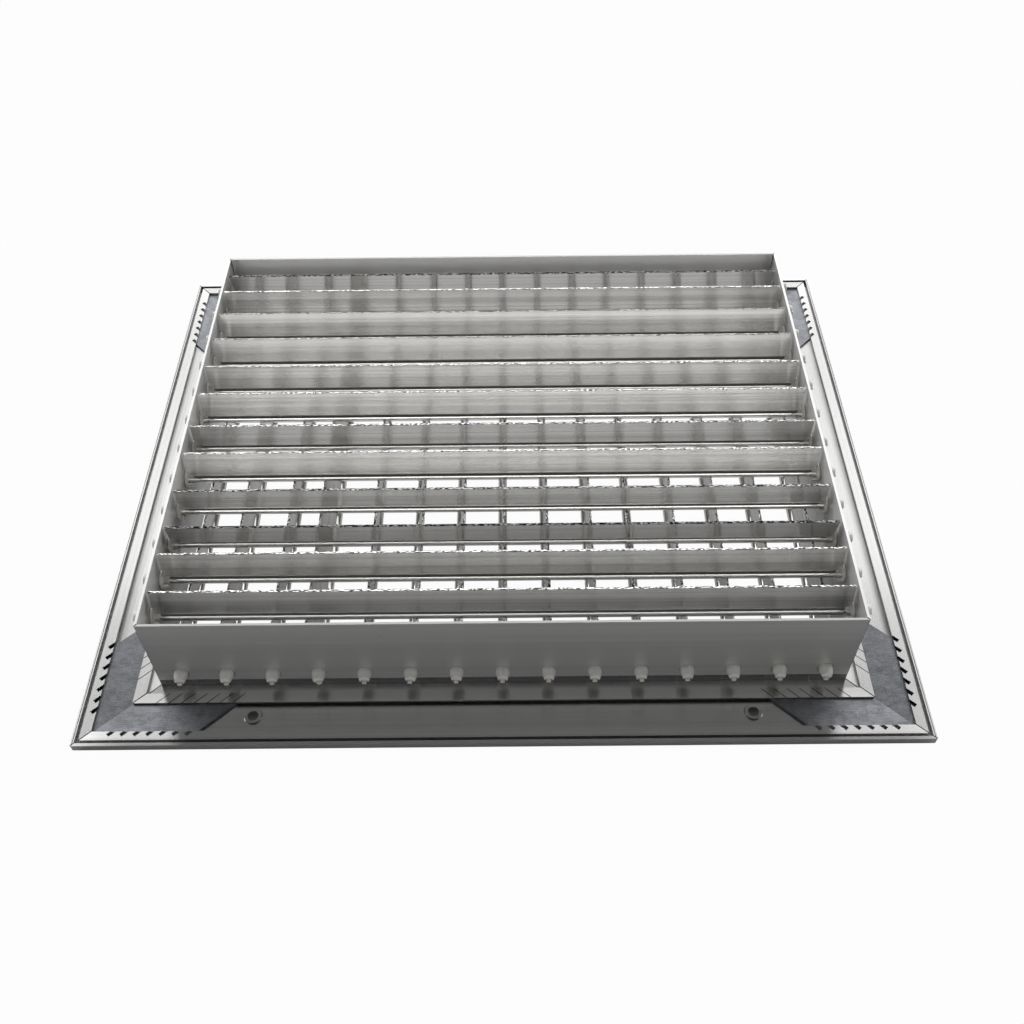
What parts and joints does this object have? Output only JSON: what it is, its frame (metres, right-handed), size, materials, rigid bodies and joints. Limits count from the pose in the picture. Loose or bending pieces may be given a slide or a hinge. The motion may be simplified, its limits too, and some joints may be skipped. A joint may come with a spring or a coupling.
{
  "type": "supply air grille",
  "caption": "Rectangular aluminium supply air grille with a flanged face frame, a short duct neck and crossing rows of adjustable pivoting blades.",
  "frame": {"origin": "the middle of the face plane, on the surface the grille lies on, directly under the middle of the neck", "axes": "+X along the long side, +Y towards the rail that is at the back in the picture, +Z from the face towards the duct"},
  "size_m": [0.3656, 0.3098, 0.0476],
  "materials": {
    "mill_aluminium": "satin extruded",
    "satin_aluminium": "satin extruded",
    "galvanised_steel": "mottled zinc",
    "white_nylon": "moulded"
  },
  "bodies": {
    "frame": {"frame_rail_front": "mill_aluminium", "frame_rail_back": "mill_aluminium", "frame_rail_left": "mill_aluminium", "frame_rail_right": "mill_aluminium", "corner_keys": "galvanised_steel"},
    "rear_blade_01": {"rear_blade_01": "satin_aluminium", "rear_bushes_01": "white_nylon"},
    "rear_blade_02": {"rear_blade_02": "satin_aluminium", "rear_bushes_02": "white_nylon"},
    "rear_blade_03": {"rear_blade_03": "satin_aluminium", "rear_bushes_03": "white_nylon"},
    "rear_blade_04": {"rear_blade_04": "satin_aluminium", "rear_bushes_04": "white_nylon"},
    "rear_blade_05": {"rear_blade_05": "satin_aluminium", "rear_bushes_05": "white_nylon"},
    "rear_blade_06": {"rear_blade_06": "satin_aluminium", "rear_bushes_06": "white_nylon"},
    "rear_blade_07": {"rear_blade_07": "satin_aluminium", "rear_bushes_07": "white_nylon"},
    "rear_blade_08": {"rear_blade_08": "satin_aluminium", "rear_bushes_08": "white_nylon"},
    "rear_blade_09": {"rear_blade_09": "satin_aluminium", "rear_bushes_09": "white_nylon"},
    "rear_blade_10": {"rear_blade_10": "satin_aluminium", "rear_bushes_10": "white_nylon"},
    "rear_blade_11": {"rear_blade_11": "satin_aluminium", "rear_bushes_11": "white_nylon"},
    "rear_blade_12": {"rear_blade_12": "satin_aluminium", "rear_bushes_12": "white_nylon"},
    "front_blade_01": {"front_blade_01": "satin_aluminium", "front_bushes_01": "white_nylon"},
    "front_blade_02": {"front_blade_02": "satin_aluminium", "front_bushes_02": "white_nylon"},
    "front_blade_03": {"front_blade_03": "satin_aluminium", "front_bushes_03": "white_nylon"},
    "front_blade_04": {"front_blade_04": "satin_aluminium", "front_bushes_04": "white_nylon"},
    "front_blade_05": {"front_blade_05": "satin_aluminium", "front_bushes_05": "white_nylon"},
    "front_blade_06": {"front_blade_06": "satin_aluminium", "front_bushes_06": "white_nylon"},
    "front_blade_07": {"front_blade_07": "satin_aluminium", "front_bushes_07": "white_nylon"},
    "front_blade_08": {"front_blade_08": "satin_aluminium", "front_bushes_08": "white_nylon"},
    "front_blade_09": {"front_blade_09": "satin_aluminium", "front_bushes_09": "white_nylon"},
    "front_blade_10": {"front_blade_10": "satin_aluminium", "front_bushes_10": "white_nylon"},
    "front_blade_11": {"front_blade_11": "satin_aluminium", "front_bushes_11": "white_nylon"},
    "front_blade_12": {"front_blade_12": "satin_aluminium", "front_bushes_12": "white_nylon"},
    "front_blade_13": {"front_blade_13": "satin_aluminium", "front_bushes_13": "white_nylon"},
    "front_blade_14": {"front_blade_14": "satin_aluminium", "front_bushes_14": "white_nylon"},
    "front_blade_15": {"front_blade_15": "satin_aluminium", "front_bushes_15": "white_nylon"}
  },
  "joints": [
    {"name": "rear_blade_01_pivot", "type": "hinge", "parent": "frame", "child": "rear_blade_01", "pos_m": [0, 0.112, 0.0331], "axis": [-1, 0, 0], "range_deg": [-25, 55]},
    {"name": "rear_blade_02_pivot", "type": "hinge", "parent": "frame", "child": "rear_blade_02", "pos_m": [0, 0.092, 0.0331], "axis": [-1, 0, 0], "range_deg": [-50, 30]},
    {"name": "rear_blade_03_pivot", "type": "hinge", "parent": "frame", "child": "rear_blade_03", "pos_m": [0, 0.072, 0.0331], "axis": [-1, 0, 0], "range_deg": [-60, 20]},
    {"name": "rear_blade_04_pivot", "type": "hinge", "parent": "frame", "child": "rear_blade_04", "pos_m": [0, 0.052, 0.0331], "axis": [-1, 0, 0], "range_deg": [-58, 22]},
    {"name": "rear_blade_05_pivot", "type": "hinge", "parent": "frame", "child": "rear_blade_05", "pos_m": [0, 0.032, 0.0331], "axis": [-1, 0, 0], "range_deg": [-52, 28]},
    {"name": "rear_blade_06_pivot", "type": "hinge", "parent": "frame", "child": "rear_blade_06", "pos_m": [0, 0.012, 0.0331], "axis": [-1, 0, 0], "range_deg": [-53, 27]},
    {"name": "rear_blade_07_pivot", "type": "hinge", "parent": "frame", "child": "rear_blade_07", "pos_m": [0, -0.008, 0.0331], "axis": [-1, 0, 0], "range_deg": [-42, 38]},
    {"name": "rear_blade_08_pivot", "type": "hinge", "parent": "frame", "child": "rear_blade_08", "pos_m": [0, -0.028, 0.0331], "axis": [-1, 0, 0], "range_deg": [-52, 28]},
    {"name": "rear_blade_09_pivot", "type": "hinge", "parent": "frame", "child": "rear_blade_09", "pos_m": [0, -0.048, 0.0331], "axis": [-1, 0, 0], "range_deg": [-37, 43]},
    {"name": "rear_blade_10_pivot", "type": "hinge", "parent": "frame", "child": "rear_blade_10", "pos_m": [0, -0.068, 0.0331], "axis": [-1, 0, 0], "range_deg": [-31, 49]},
    {"name": "rear_blade_11_pivot", "type": "hinge", "parent": "frame", "child": "rear_blade_11", "pos_m": [0, -0.088, 0.0331], "axis": [-1, 0, 0], "range_deg": [-52, 28]},
    {"name": "rear_blade_12_pivot", "type": "hinge", "parent": "frame", "child": "rear_blade_12", "pos_m": [0, -0.108, 0.0331], "axis": [-1, 0, 0], "range_deg": [-50, 30]},
    {"name": "front_blade_01_pivot", "type": "hinge", "parent": "frame", "child": "front_blade_01", "pos_m": [-0.14, 0, 0.0119], "axis": [0, 1, 0], "range_deg": [-43, 37]},
    {"name": "front_blade_02_pivot", "type": "hinge", "parent": "frame", "child": "front_blade_02", "pos_m": [-0.12, 0, 0.0119], "axis": [0, 1, 0], "range_deg": [-32, 48]},
    {"name": "front_blade_03_pivot", "type": "hinge", "parent": "frame", "child": "front_blade_03", "pos_m": [-0.1, 0, 0.0119], "axis": [0, 1, 0], "range_deg": [-40, 40]},
    {"name": "front_blade_04_pivot", "type": "hinge", "parent": "frame", "child": "front_blade_04", "pos_m": [-0.08, 0, 0.0119], "axis": [0, 1, 0], "range_deg": [-17, 63]},
    {"name": "front_blade_05_pivot", "type": "hinge", "parent": "frame", "child": "front_blade_05", "pos_m": [-0.06, 0, 0.0119], "axis": [0, 1, 0], "range_deg": [-42, 38]},
    {"name": "front_blade_06_pivot", "type": "hinge", "parent": "frame", "child": "front_blade_06", "pos_m": [-0.04, 0, 0.0119], "axis": [0, 1, 0], "range_deg": [-52, 28]},
    {"name": "front_blade_07_pivot", "type": "hinge", "parent": "frame", "child": "front_blade_07", "pos_m": [-0.02, 0, 0.0119], "axis": [0, 1, 0], "range_deg": [-49, 31]},
    {"name": "front_blade_08_pivot", "type": "hinge", "parent": "frame", "child": "front_blade_08", "pos_m": [0, 0, 0.0119], "axis": [0, 1, 0], "range_deg": [-44, 36]},
    {"name": "front_blade_09_pivot", "type": "hinge", "parent": "frame", "child": "front_blade_09", "pos_m": [0.02, 0, 0.0119], "axis": [0, 1, 0], "range_deg": [-44, 36]},
    {"name": "front_blade_10_pivot", "type": "hinge", "parent": "frame", "child": "front_blade_10", "pos_m": [0.04, 0, 0.0119], "axis": [0, 1, 0], "range_deg": [-45, 35]},
    {"name": "front_blade_11_pivot", "type": "hinge", "parent": "frame", "child": "front_blade_11", "pos_m": [0.06, 0, 0.0119], "axis": [0, 1, 0], "range_deg": [-33, 47]},
    {"name": "front_blade_12_pivot", "type": "hinge", "parent": "frame", "child": "front_blade_12", "pos_m": [0.08, 0, 0.0119], "axis": [0, 1, 0], "range_deg": [-40, 40]},
    {"name": "front_blade_13_pivot", "type": "hinge", "parent": "frame", "child": "front_blade_13", "pos_m": [0.1, 0, 0.0119], "axis": [0, 1, 0], "range_deg": [-41, 39]},
    {"name": "front_blade_14_pivot", "type": "hinge", "parent": "frame", "child": "front_blade_14", "pos_m": [0.12, 0, 0.0119], "axis": [0, 1, 0], "range_deg": [-42, 38]},
    {"name": "front_blade_15_pivot", "type": "hinge", "parent": "frame", "child": "front_blade_15", "pos_m": [0.14, 0, 0.0119], "axis": [0, 1, 0], "range_deg": [-49, 31]}
  ]
}
